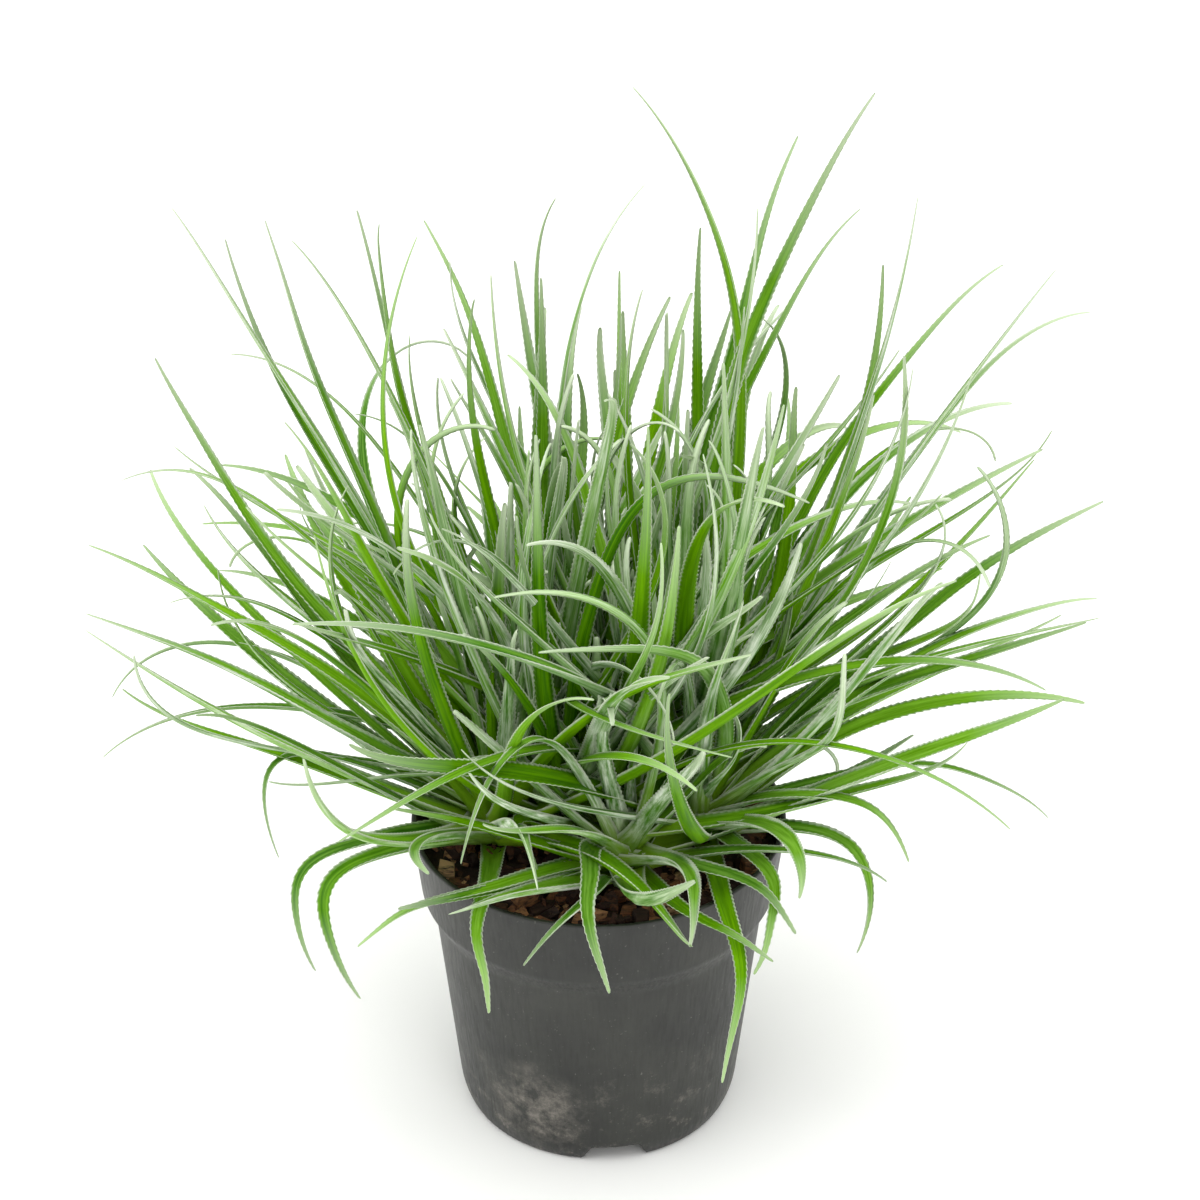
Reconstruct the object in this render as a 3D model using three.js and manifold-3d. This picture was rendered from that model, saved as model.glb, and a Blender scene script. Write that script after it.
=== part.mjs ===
// A grassy bromeliad in its plastic nursery pot: a clump of seven rosettes of narrow arching leaves,
// growing in coarse bark mix. Millimetres, +Z up. The origin is on the surface that the pot stands on,
// at the middle of its foot. The plant's fuller side faces -Y.
import * as THREE from "three";
import { mergeVertices } from "three/addons/utils/BufferGeometryUtils.js";
import Module from "manifold-3d";

const wasm = await Module();
wasm.setup();

// ---- driving dimensions -------------------------------------------------------------------------

// Pot: a thin-walled 12 cm nursery pot with a deep plain band under its rim.
const POT_HEIGHT = 107;
const RIM_RADIUS = 60;
const BAND_DEPTH = 24;
const BAND_LOWER_RADIUS = 57.2;
const STEP_DEPTH = 7;
const BODY_TOP_RADIUS = 53.2;
const BODY_LOW_RADIUS = 45.6;
const FOOT_RADIUS = 43.2;
const FOOT_CORNER = 2.6;
const FOOT_RING_WIDTH = 3;
const FLOOR_LIFT = 8;
const WALL = 1.8;
const LIP_ROUNDING = 0.9;
const POT_SIDES = 72;

// Gaps in the foot ring, one of them nearly at the front, and the holes in the raised floor.
const NOTCH_COUNT = 3;
const NOTCH_WIDTH = 22.6;
const NOTCH_HEIGHT = 7;
const NOTCH_HEADING = -83;
const DRAIN_COUNT = 6;
const DRAIN_RADIUS = 4.5;
const DRAIN_CIRCLE_RADIUS = 30;

// Bark mix: it fills the pot to a little below the rim.
const MIX_TOP = 98;
const MIX_MOUND = 1.2;
const MIX_SIDES = 48;
const GAP = 0.3;

// Rosettes: each crown is a cone of tight leaf sheaths, and its leaves start round it, oldest lowest.
const CROWN_HEIGHT = 34;
const CROWN_RADIUS = 10.4;
const SHEATH_RADIUS = 12;
const SHEATH_STEP_IN = 0.8;
const SHEATH_FOOT = 2.6;
const SHEATH_STEP_UP = 2.6;

// Leaf section: a shallow channel above a keel, in parts of the leaf's width.
const LEAF_RINGS = 13;
const CHANNEL_DEPTH = 0.13;
const KEEL_DEPTH = 0.17;
const KEEL_LEAST = 0.45;

// Rosette centres on top of the mix.
const ROSETTES = {
  front: [8, -18],
  middle: [-8, 6],
  right: [32, 2],
  left: [-33, 0],
  back_left: [-21, 31],
  back_right: [28, 31],
  back: [3, 43],
};

// Leaves of each rosette, oldest first. A leaf springs from its crown towards the point "bend" and
// curves over to end at "tip". Width is across the widest part, just above the sheath.
const LEAVES = {
  front: [
    { name: "front_over_rim_left", bend: [6, -48, 127], tip: [-24, -78, 104], width: 5.5 },
    { name: "front_over_rim_right", bend: [32, -74, 120], tip: [54, -88, 114], width: 6 },
    { name: "front_left_low", bend: [-62, -74, 128], tip: [-74, -76, 110], width: 6.5 },
    { name: "front_right_short", bend: [54, -55, 124], tip: [61, -68, 108], width: 5.5 },
    { name: "front_hanging", bend: [-12, -52, 138], tip: [4, -92, 104], width: 7 },
    { name: "front_low_right", bend: [106, -24, 132], tip: [113, -36, 161], width: 7 },
    { name: "front_pale_arch", bend: [-22, -50, 212], tip: [-42, -62, 130], width: 5 },
    { name: "front_silver_curl", bend: [37, -39, 230], tip: [-33, -45, 216], width: 4.5 },
  ],
  middle: [
    { name: "middle_short", bend: [-32, -26, 136], tip: [-18, -42, 113], width: 5.5 },
    { name: "middle_long_left", bend: [-55, 6, 269], tip: [-92, 15, 305], width: 7 },
    { name: "middle_silver_left", bend: [-60, -32, 240], tip: [-54, -28, 266], width: 5.5 },
    { name: "middle_tall_left", bend: [-48, 40, 256], tip: [-37, 38, 274], width: 6.5 },
    { name: "middle_silver_right", bend: [-12, -18, 275], tip: [65, -15, 230], width: 5 },
  ],
  right: [
    { name: "right_hanging", bend: [48, -92, 126], tip: [36, -118, 91], width: 6.5 },
    { name: "right_drooping", bend: [100, -34, 131], tip: [81, -34, 75], width: 6.5 },
    { name: "right_over_rim", bend: [66, -64, 126], tip: [46, -72, 96], width: 6 },
    { name: "right_low_arch", bend: [114, -6, 148], tip: [143, -18, 116], width: 4.5 },
    { name: "right_short_arch", bend: [84, -36, 154], tip: [97, -36, 112], width: 5.5 },
    { name: "right_long", bend: [118, 2, 190], tip: [156, 0, 188], width: 7.5 },
    { name: "right_long_upper", bend: [106, 18, 184], tip: [159, 24, 210], width: 8 },
    { name: "right_silver_arch", bend: [58, -53, 213], tip: [-20, -48, 199], width: 6.5 },
  ],
  left: [
    { name: "left_front_hanging", bend: [-38, -92, 129], tip: [-33, -80, 88], width: 6.5 },
    { name: "left_drooping", bend: [-104, -80, 152], tip: [-72, -68, 84], width: 7.5 },
    { name: "left_drooping_outer", bend: [-112, -52, 138], tip: [-87, -52, 82], width: 6 },
    { name: "left_long_low", bend: [-96, -34, 150], tip: [-156, -28, 196], width: 8 },
    { name: "left_thin_loop", bend: [-122, -18, 170], tip: [-99, -30, 109], width: 4 },
    { name: "left_long_middle", bend: [-110, -12, 172], tip: [-158, -15, 193], width: 8.5 },
    { name: "left_long_upper", bend: [-104, 6, 181], tip: [-158, 2, 207], width: 8 },
    { name: "left_rising", bend: [-112, 36, 184], tip: [-137, 36, 255], width: 6.5 },
    { name: "left_tall", bend: [-94, 24, 274], tip: [-100, 30, 305], width: 7 },
  ],
  back_left: [
    { name: "back_left_level", bend: [-102, 14, 196], tip: [-137, 22, 172], width: 6 },
    { name: "back_left_far", bend: [-104, 34, 236], tip: [-152, 40, 206], width: 5.5 },
    { name: "back_left_spread", bend: [-110, 64, 234], tip: [-117, 72, 278], width: 6.5 },
    { name: "back_left_high", bend: [-107, 26, 276], tip: [-130, 42, 303], width: 7 },
    { name: "back_left_tall", bend: [-76, 62, 262], tip: [-67, 62, 288], width: 6.5 },
  ],
  back_right: [
    { name: "back_right_wide", bend: [115, 52, 264], tip: [156, 62, 255], width: 6 },
    { name: "back_right_high", bend: [94, 22, 228], tip: [141, 44, 281], width: 7.5 },
    { name: "back_right_spread", bend: [80, 76, 232], tip: [131, 88, 260], width: 6.5 },
    { name: "back_right_upright", bend: [86, 46, 200], tip: [97, 48, 304], width: 7.5 },
    { name: "back_right_tip_in", bend: [66, 72, 268], tip: [9, 76, 327], width: 7 },
    { name: "back_right_tip_out", bend: [32, 48, 260], tip: [84, 52, 336], width: 7 },
  ],
  back: [
    { name: "back_far_right", bend: [48, 98, 260], tip: [65, 118, 292], width: 6.5 },
    { name: "back_far_left", bend: [-40, 100, 240], tip: [-58, 118, 262], width: 6.5 },
    { name: "back_leaning_right", bend: [46, 82, 246], tip: [85, 94, 277], width: 7 },
    { name: "back_tall_left", bend: [-32, 74, 264], tip: [-12, 84, 286], width: 7 },
    { name: "back_tall_right", bend: [-28, 44, 262], tip: [16, 56, 304], width: 6.5 },
  ],
};

// Loose bark chips on the mix: place on the mix, turn and tilt in degrees, and size.
const BARK_CHIPS = [
  { at: [-24, -36], turn: 25, tilt: 8, size: [12, 7, 4] },
  { at: [24, -42], turn: -40, tilt: 6, size: [10, 6, 3.6] },
  { at: [48, -20], turn: 70, tilt: 10, size: [9, 6, 4] },
  { at: [-2, -46], turn: 5, tilt: 7, size: [11, 5, 3.4] },
  { at: [49, 14], turn: 15, tilt: 12, size: [8, 7, 6] },
];

// ---- materials ----------------------------------------------------------------------------------

const leafGreen = () => new THREE.MeshStandardMaterial({ color: 0x6fae4a, roughness: 0.55, metalness: 0 });
const crownGreen = () => new THREE.MeshStandardMaterial({ color: 0xa9bd76, roughness: 0.6, metalness: 0 });
const barkBrown = () => new THREE.MeshStandardMaterial({ color: 0x6b4128, roughness: 0.9, metalness: 0 });
const mixBrown = () => new THREE.MeshStandardMaterial({ color: 0x3a2418, roughness: 0.95, metalness: 0 });
const potPlastic = () => new THREE.MeshStandardMaterial({ color: 0x3c3d3f, roughness: 0.6, metalness: 0 });

// ---- solids -------------------------------------------------------------------------------------

const radians = THREE.MathUtils.degToRad;

// A closed three.js geometry as a manifold solid, and back.
function toSolid(geometry) {
  const bare = geometry.clone();
  bare.deleteAttribute("normal");
  bare.deleteAttribute("uv");
  const merged = mergeVertices(bare, 1e-4);
  return new wasm.Manifold(
    new wasm.Mesh({
      numProp: 3,
      vertProperties: new Float32Array(merged.attributes.position.array),
      triVerts: new Uint32Array(merged.index.array),
    }),
  );
}

function toGeometry(solid) {
  const mesh = solid.getMesh();
  const geometry = new THREE.BufferGeometry();
  geometry.setAttribute("position", new THREE.BufferAttribute(mesh.vertProperties, 3));
  geometry.setIndex(new THREE.BufferAttribute(mesh.triVerts, 1));
  return geometry;
}

// A solid of revolution about +Z from a profile of [radius, height] points that starts and ends on
// the axis, going up the outside.
function revolve(profile, sides) {
  const points = profile.map(([radius, height]) => new THREE.Vector2(radius, height));
  return new THREE.LatheGeometry(points, sides).rotateX(Math.PI / 2);
}

function named(name, geometry, material) {
  const mesh = new THREE.Mesh(geometry, material);
  mesh.name = name;
  return mesh;
}

// ---- pot ----------------------------------------------------------------------------------------

// Outer radius of the pot wall at a height below the band.
function bodyRadius(height) {
  const top = POT_HEIGHT - BAND_DEPTH - STEP_DEPTH;
  const low = FOOT_CORNER * 2;
  return BODY_LOW_RADIUS + ((BODY_TOP_RADIUS - BODY_LOW_RADIUS) * (height - low)) / (top - low);
}

function potShell() {
  const bandFoot = POT_HEIGHT - BAND_DEPTH;
  const stepFoot = bandFoot - STEP_DEPTH;
  const floorTop = FLOOR_LIFT + WALL;
  return revolve(
    [
      [0, FLOOR_LIFT],
      [FOOT_RADIUS - FOOT_RING_WIDTH - 0.8, FLOOR_LIFT],
      [FOOT_RADIUS - FOOT_RING_WIDTH, 0],
      [FOOT_RADIUS, 0],
      [FOOT_RADIUS + 1.5, FOOT_CORNER * 0.5],
      [BODY_LOW_RADIUS, FOOT_CORNER * 2],
      [BODY_TOP_RADIUS, stepFoot],
      [BAND_LOWER_RADIUS - 0.5, bandFoot - 0.6],
      [BAND_LOWER_RADIUS, bandFoot],
      [RIM_RADIUS - 0.1, POT_HEIGHT - LIP_ROUNDING],
      [RIM_RADIUS - LIP_ROUNDING * 0.6, POT_HEIGHT],
      [RIM_RADIUS - WALL + LIP_ROUNDING * 0.2, POT_HEIGHT],
      [RIM_RADIUS - WALL, POT_HEIGHT - LIP_ROUNDING],
      [BAND_LOWER_RADIUS - WALL, bandFoot],
      [BODY_TOP_RADIUS - WALL, stepFoot],
      [bodyRadius(floorTop) - WALL, floorTop],
      [0, floorTop],
    ],
    POT_SIDES,
  );
}

// One gap in the foot ring: a low trapezoid with eased upper corners, cut along the radius.
function footNotch(heading) {
  const half = NOTCH_WIDTH / 2;
  const outline = new THREE.Shape();
  outline.moveTo(-half, -1);
  outline.lineTo(half, -1);
  outline.lineTo(half - 2.4, NOTCH_HEIGHT * 0.6);
  outline.quadraticCurveTo(half - 3.4, NOTCH_HEIGHT, half - 5, NOTCH_HEIGHT);
  outline.lineTo(5 - half, NOTCH_HEIGHT);
  outline.quadraticCurveTo(3.4 - half, NOTCH_HEIGHT, 2.4 - half, NOTCH_HEIGHT * 0.6);
  outline.closePath();
  const reach = FOOT_RING_WIDTH * 4;
  const cutter = new THREE.ExtrudeGeometry(outline, { depth: reach, bevelEnabled: false, curveSegments: 4 });
  cutter.rotateX(Math.PI / 2);
  cutter.translate(0, FOOT_RING_WIDTH * 2 - FOOT_RADIUS, 0);
  cutter.rotateZ(radians(heading + 90));
  return cutter;
}

function drainHole(heading) {
  const hole = new THREE.CylinderGeometry(DRAIN_RADIUS, DRAIN_RADIUS, WALL * 4, 16);
  hole.rotateX(Math.PI / 2);
  hole.translate(DRAIN_CIRCLE_RADIUS, 0, FLOOR_LIFT + WALL / 2);
  hole.rotateZ(radians(heading));
  return hole;
}

function makePot() {
  let solid = toSolid(potShell());
  for (let i = 0; i < NOTCH_COUNT; i++) {
    solid = solid.subtract(toSolid(footNotch(NOTCH_HEADING + (360 * i) / NOTCH_COUNT)));
  }
  for (let i = 0; i < DRAIN_COUNT; i++) {
    solid = solid.subtract(toSolid(drainHole((360 * (i + 0.5)) / DRAIN_COUNT)));
  }
  return named("pot", toGeometry(solid), potPlastic());
}

// ---- potting mix and loose chips ----------------------------------------------------------------

function makeMix() {
  const bandFoot = POT_HEIGHT - BAND_DEPTH;
  const stepFoot = bandFoot - STEP_DEPTH;
  const floor = FLOOR_LIFT + WALL + GAP;
  const inset = WALL + GAP * 1.4;
  const climb = (MIX_TOP - bandFoot) / BAND_DEPTH;
  const brim = BAND_LOWER_RADIUS + (RIM_RADIUS - BAND_LOWER_RADIUS) * climb - inset;
  const profile = [
    [0, floor],
    [bodyRadius(floor) - inset, floor],
    [BODY_TOP_RADIUS - inset, stepFoot],
    [BAND_LOWER_RADIUS - inset, bandFoot],
    [brim, MIX_TOP - MIX_MOUND],
    [brim * 0.82, MIX_TOP],
    [0, MIX_TOP],
  ];
  return named("potting_mix", revolve(profile, MIX_SIDES), mixBrown());
}

// A chip is a split flake of bark: an uneven five-cornered slab.
function makeChip({ at, turn, tilt, size }, index) {
  const [length, breadth, thickness] = size;
  const outline = new THREE.Shape();
  outline.moveTo(-length / 2, -breadth * 0.3);
  outline.lineTo(length * 0.2, -breadth / 2);
  outline.lineTo(length / 2, -breadth * 0.1);
  outline.lineTo(length * 0.3, breadth / 2);
  outline.lineTo(-length * 0.4, breadth * 0.4);
  outline.closePath();
  const flake = new THREE.ExtrudeGeometry(outline, { depth: thickness, bevelEnabled: false });
  const mesh = named("bark_chip_" + (index + 1), flake, barkBrown());
  const lift = (length / 2) * Math.sin(radians(tilt)) + GAP;
  mesh.position.set(at[0], at[1], MIX_TOP + lift);
  mesh.rotation.set(0, radians(tilt), radians(turn), "ZYX");
  return mesh;
}

// ---- rosettes -----------------------------------------------------------------------------------

function makeCrown(name, [x, y]) {
  const profile = [
    [0, 0],
    [CROWN_RADIUS, 0],
    [CROWN_RADIUS - 0.4, 2],
    [CROWN_RADIUS * 0.72, CROWN_HEIGHT * 0.3],
    [CROWN_RADIUS * 0.42, CROWN_HEIGHT * 0.6],
    [CROWN_RADIUS * 0.16, CROWN_HEIGHT * 0.9],
    [0, CROWN_HEIGHT],
  ];
  const crown = named("crown_" + name, revolve(profile, 12), crownGreen());
  crown.position.set(x, y, MIX_TOP + GAP);
  return crown;
}

// Share of the full width at a place along the leaf, from 0 at the sheath to 1 at the tip.
function widthShare(place) {
  return (0.8 + 0.2 * Math.min(1, place * 8)) * (1 - place ** 1.7);
}

// A leaf is a row of four-cornered rings (two margins, the channel and the keel) carried along a
// quadratic curve without twisting, and closed by a single point at the tip.
function leafGeometry(curve, width) {
  const heading = curve.getTangent(0).setZ(0).normalize();
  let side = new THREE.Vector3(heading.y, -heading.x, 0);
  const corners = [];
  for (let i = 0; i < LEAF_RINGS; i++) {
    const place = i / LEAF_RINGS;
    const centre = curve.getPoint(place);
    const along = curve.getTangent(place);
    side = side.clone().addScaledVector(along, -side.dot(along)).normalize();
    const upper = side.clone().cross(along);
    const across = width * widthShare(place);
    const margin = CHANNEL_DEPTH * across;
    const keel = KEEL_DEPTH * across + KEEL_LEAST * (1 - place);
    corners.push(centre.clone().addScaledVector(side, -across / 2).addScaledVector(upper, margin));
    corners.push(centre.clone());
    corners.push(centre.clone().addScaledVector(side, across / 2).addScaledVector(upper, margin));
    corners.push(centre.clone().addScaledVector(upper, -keel));
  }
  corners.push(curve.getPoint(1));
  const tip = corners.length - 1;
  const faces = [0, 2, 1, 0, 3, 2];
  for (let i = 0; i < LEAF_RINGS; i++) {
    for (let k = 0; k < 4; k++) {
      const a = i * 4 + k;
      const b = i * 4 + ((k + 1) % 4);
      if (i === LEAF_RINGS - 1) faces.push(a, b, tip);
      else faces.push(a, b, b + 4, a, b + 4, a + 4);
    }
  }
  const geometry = new THREE.BufferGeometry().setFromPoints(corners);
  geometry.setIndex(faces);
  return geometry;
}

// The order of a leaf in its rosette sets where it starts: each younger one a little higher and
// nearer the crown's axis, on the side that the leaf leans to.
function makeLeaf({ name, bend, tip, width }, order, [x, y]) {
  const bendPoint = new THREE.Vector3(...bend);
  const outward = new THREE.Vector3(bend[0] - x, bend[1] - y, 0).normalize();
  const start = new THREE.Vector3(x, y, MIX_TOP + SHEATH_FOOT + SHEATH_STEP_UP * order);
  start.addScaledVector(outward, SHEATH_RADIUS - SHEATH_STEP_IN * order);
  const curve = new THREE.QuadraticBezierCurve3(start, bendPoint, new THREE.Vector3(...tip));
  return named("leaf_" + name, leafGeometry(curve, width), leafGreen());
}

// ---- assembly -----------------------------------------------------------------------------------

const bromeliad = new THREE.Group();
bromeliad.add(makePot(), makeMix());
bromeliad.add(...BARK_CHIPS.map(makeChip));
for (const [rosette, centre] of Object.entries(ROSETTES)) {
  bromeliad.add(makeCrown(rosette, centre));
  bromeliad.add(...LEAVES[rosette].map((leaf, order) => makeLeaf(leaf, order, centre)));
}

export default bromeliad;
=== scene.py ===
import bpy
import numpy as np
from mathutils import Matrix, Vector


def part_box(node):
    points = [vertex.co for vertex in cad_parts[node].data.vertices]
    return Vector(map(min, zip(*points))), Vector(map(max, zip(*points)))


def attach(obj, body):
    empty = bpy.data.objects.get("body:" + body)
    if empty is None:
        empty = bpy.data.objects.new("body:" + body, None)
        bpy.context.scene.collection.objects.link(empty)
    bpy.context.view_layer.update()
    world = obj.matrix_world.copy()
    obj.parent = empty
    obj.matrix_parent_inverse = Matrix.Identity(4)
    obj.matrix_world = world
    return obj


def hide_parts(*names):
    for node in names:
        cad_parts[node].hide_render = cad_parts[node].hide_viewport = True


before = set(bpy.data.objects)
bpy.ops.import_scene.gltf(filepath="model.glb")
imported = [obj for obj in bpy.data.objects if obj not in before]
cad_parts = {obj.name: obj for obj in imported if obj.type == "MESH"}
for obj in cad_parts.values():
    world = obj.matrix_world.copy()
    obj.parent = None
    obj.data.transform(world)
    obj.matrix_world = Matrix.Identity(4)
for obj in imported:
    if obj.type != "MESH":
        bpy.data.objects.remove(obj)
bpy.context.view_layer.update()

# ---- Camera -------------------------------------------------------------------------------------
# A long lens, a little over a metre from the plant and looking down on it, so that the rim
# shows as an open ellipse and the leaves stand above it.
VIEW_TARGET = Vector((0.0005, 0.0, 0.1877))
VIEW_DISTANCE = 1.1
VIEW_DOWN_ANGLE = np.radians(31.94)

lens = bpy.data.cameras.new("camera")
lens.sensor_width = 36.0
lens.lens = 107.1
lens.clip_end = 20.0
camera = bpy.data.objects.new("camera", lens)
bpy.context.scene.collection.objects.link(camera)
backward = Vector((0.0, -np.cos(VIEW_DOWN_ANGLE), np.sin(VIEW_DOWN_ANGLE)))
camera.location = VIEW_TARGET + backward * VIEW_DISTANCE
camera.rotation_euler = (-backward).to_track_quat("-Z", "Y").to_euler()
bpy.context.scene.camera = camera


# ---- Studio -------------------------------------------------------------------------------------
# A plain white table that runs far back, lit by one wide overhead panel, weaker front and side
# panels and an even white surround, for soft shadows and a clean pale ground.
def linear_colour(hex_colour):
    """An sRGB hex colour as the linear red, green, blue and alpha that shader sockets take."""
    srgb = np.array([int(hex_colour[i : i + 2], 16) for i in (1, 3, 5)]) / 255
    linear = np.where(srgb <= 0.04045, srgb / 12.92, ((srgb + 0.055) / 1.055) ** 2.4)
    return (*linear.tolist(), 1.0)


def add_node(tree, kind, inputs=None, **settings):
    """Adds one shader node with its settings. Each input, by socket name or number, is a value, an
    output socket that feeds it, or a node whose first output feeds it."""
    node = tree.nodes.new(kind)
    for name, value in settings.items():
        setattr(node, name, value)
    for name, value in (inputs or {}).items():
        usable = [s for s in node.inputs if s.name == name and not s.is_unavailable]
        socket = usable[0] if usable else node.inputs[name]
        if isinstance(value, bpy.types.Node):
            value = next(s for s in value.outputs if not s.is_unavailable)
        if isinstance(value, bpy.types.NodeSocket):
            tree.links.new(socket, value)
        else:
            socket.default_value = value
    return node


def new_material(name, **shader_values):
    """A material of one Principled shader wired to the output, and its node tree and shader."""
    material = bpy.data.materials.new(name)
    material.use_nodes = True
    tree = material.node_tree
    tree.nodes.clear()
    inputs = {key.replace("_", " "): value for key, value in shader_values.items()}
    shader = add_node(tree, "ShaderNodeBsdfPrincipled", inputs)
    add_node(tree, "ShaderNodeOutputMaterial", {"Surface": shader})
    return material, tree, shader


def mesh_piece(name, points, faces, material, smooth=True):
    """A mesh object at the origin from an array of points and one of faces, four indices a row. A
    row that repeats its third index is a triangle."""
    faces = np.asarray(faces, np.int32)
    sizes = np.where(faces[:, 3] == faces[:, 2], 3, 4)
    corners = faces[np.arange(4) < sizes[:, None]]
    mesh = bpy.data.meshes.new(name)
    mesh.vertices.add(len(points))
    mesh.vertices.foreach_set("co", np.asarray(points, np.float32).ravel())
    mesh.loops.add(len(corners))
    mesh.loops.foreach_set("vertex_index", corners)
    mesh.polygons.add(len(faces))
    mesh.polygons.foreach_set("loop_start", (np.cumsum(sizes) - sizes).astype(np.int32))
    mesh.polygons.foreach_set("use_smooth", np.full(len(faces), smooth))
    mesh.update(calc_edges=True)
    mesh.materials.append(material)
    piece = bpy.data.objects.new(name, mesh)
    bpy.context.scene.collection.objects.link(piece)
    return piece


TABLE_HALF_WIDTH = 4.0
table_white, tree, shader = new_material("matt_white_laminate", Roughness=0.8)
shader.inputs["Base Color"].default_value = linear_colour("#fafaf8")
table_corners = TABLE_HALF_WIDTH * np.array([[-1, -1, 0], [1, -1, 0], [1, 1, 0], [-1, 1, 0]])
table = mesh_piece("table", table_corners, [[0, 1, 2, 3]], table_white, smooth=False)

# Softboxes: name, place, size in metres and power in watts. All face the plant.
for name, place, size, power in (
    ("overhead_panel", (-0.08, -0.2, 2.0), 2.6, 44.0),
    ("front_panel", (0.9, -2.2, 1.1), 1.4, 10.0),
    ("side_panel", (-1.9, -0.5, 0.7), 1.2, 8.0),
):
    panel = bpy.data.lights.new(name, "AREA")
    panel.size = size
    panel.energy = power
    lamp = bpy.data.objects.new(name, panel)
    lamp.location = place
    lamp.rotation_euler = (VIEW_TARGET - lamp.location).to_track_quat("-Z", "Y").to_euler()
    bpy.context.scene.collection.objects.link(lamp)

SURROUND_STRENGTH = 0.8
surround = bpy.data.worlds.new("white_surround")
surround.use_nodes = True
surround.node_tree.nodes["Background"].inputs["Color"].default_value = linear_colour("#ffffff")
surround.node_tree.nodes["Background"].inputs["Strength"].default_value = SURROUND_STRENGTH
bpy.context.scene.world = surround
bpy.context.scene.view_settings.view_transform = "Standard"

# ---- Pot ----------------------------------------------------------------------------------------
# A 12 cm nursery pot, thin-wall moulded in one piece from recycled polypropylene. A deep plain band
# stiffens the rim, the wall tapers to a rounded foot, and the foot ring has gaps that let water out
# from under the raised, pierced floor.
pot_low, pot_high = (np.array(corner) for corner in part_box("pot"))
RIM_RADIUS = (pot_high[0] - pot_low[0]) / 2
POT_HEIGHT = pot_high[2]
BAND_FOOT = POT_HEIGHT - 0.0240
STEP_FOOT = BAND_FOOT - 0.0070
BAND_LOWER_RADIUS = RIM_RADIUS - 0.0028
BODY_TOP_RADIUS = RIM_RADIUS - 0.0067
BODY_LOW_RADIUS = RIM_RADIUS - 0.0143
FOOT_RADIUS = RIM_RADIUS - 0.0167
FOOT_RING_RADIUS = FOOT_RADIUS - 0.0030
FLOOR_LIFT = 0.0080
WALL = 0.0018
NOTCH_HALF_WIDTH = 0.0113
NOTCH_HEIGHT = 0.0070
NOTCH_HEADINGS = np.radians([-83.0, 37.0, 157.0])
DRAIN_RADIUS = 0.0045
DRAIN_CIRCLE_RADIUS = 0.030
DRAIN_COUNT = 6


def rounded_profile(corners, step):
    """Corners (radius, height, rounding) joined by straight runs, with each corner replaced by a
    quadratic curve that starts and ends its rounding length away. Points are a step apart or less."""
    places = np.array(corners)[:, :2]
    points = [places[:1]]
    for before, here, after, rounding in zip(places, places[1:], places[2:], np.array(corners)[1:, 2]):
        towards, away = before - here, after - here
        cut_in = min(rounding / np.linalg.norm(towards), 0.5)
        cut_out = min(rounding / np.linalg.norm(away), 0.5)
        t = np.linspace(0, 1, 7)[:, None]
        points.append(here + (1 - t) ** 2 * cut_in * towards + t**2 * cut_out * away)
    points = np.concatenate([*points, places[-1:]])
    lengths = np.linalg.norm(np.diff(points, axis=0), axis=1)
    parts = np.ceil(lengths / step).astype(int)
    runs = [a + (b - a) * (np.arange(n)[:, None] / n) for a, b, n in zip(points, points[1:], parts)]
    return np.concatenate([*runs, points[-1:]])


def ring_faces(rings, sides):
    """Quads between neighbouring rings of equally many points, row by row."""
    ring, side = np.meshgrid(np.arange(rings - 1) * sides, np.arange(sides), indexing="ij")
    beside = (side + 1) % sides
    return np.stack(
        [ring + side, ring + beside, ring + sides + beside, ring + sides + side],
        -1,
    ).reshape(-1, 4)


def closed_rings(rings):
    """Points and faces of a tube of rings, shape (rings, sides, 3), closed at both ends by a fan of
    triangles about each end ring's middle point."""
    count, sides = rings.shape[:2]
    first, last = count * sides, count * sides + 1
    side = np.arange(sides)
    beside = (side + 1) % sides
    top = (count - 1) * sides
    start_fan = np.stack([np.full(sides, first), beside, side, side], 1)
    end_fan = np.stack([np.full(sides, last), top + side, top + beside, top + beside], 1)
    points = np.concatenate([rings.reshape(-1, 3), rings[:1].mean(1), rings[-1:].mean(1)])
    return points, np.concatenate([ring_faces(count, sides), start_fan, end_fan])


def turned(profile, sides):
    """A profile (radius, height) turned about +Z: each place on it becomes a ring of points."""
    angle = np.arange(sides) * 2 * np.pi / sides
    rings = np.empty((len(profile), sides, 3))
    rings[:, :, 0] = profile[:, :1] * np.cos(angle)
    rings[:, :, 1] = profile[:, :1] * np.sin(angle)
    rings[:, :, 2] = profile[:, 1:]
    return rings


POLE = 0.0002
pot_profile = rounded_profile(
    [
        (POLE, FLOOR_LIFT, 0.0),
        (FOOT_RING_RADIUS - 0.0008, FLOOR_LIFT, 0.0010),
        (FOOT_RING_RADIUS, 0.0, 0.0006),
        (FOOT_RADIUS + 0.0002, 0.0, 0.0016),
        (BODY_LOW_RADIUS, 0.0052, 0.0040),
        (BODY_TOP_RADIUS, STEP_FOOT, 0.0020),
        (BAND_LOWER_RADIUS, BAND_FOOT - 0.0004, 0.0012),
        (RIM_RADIUS, POT_HEIGHT, 0.0009),
        (RIM_RADIUS - WALL, POT_HEIGHT, 0.0008),
        (BAND_LOWER_RADIUS - WALL, BAND_FOOT, 0.0010),
        (BODY_TOP_RADIUS - WALL, STEP_FOOT, 0.0020),
        (BODY_LOW_RADIUS - WALL, FLOOR_LIFT + WALL, 0.0020),
        (POLE, FLOOR_LIFT + WALL, 0.0),
    ],
    step=0.0040,
)
POT_SIDES = 240
pot_rings = turned(pot_profile, POT_SIDES)
radius = np.hypot(pot_rings[..., 0], pot_rings[..., 1])
angle = np.arctan2(pot_rings[..., 1], pot_rings[..., 0])
height = pot_rings[..., 2].copy()
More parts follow.
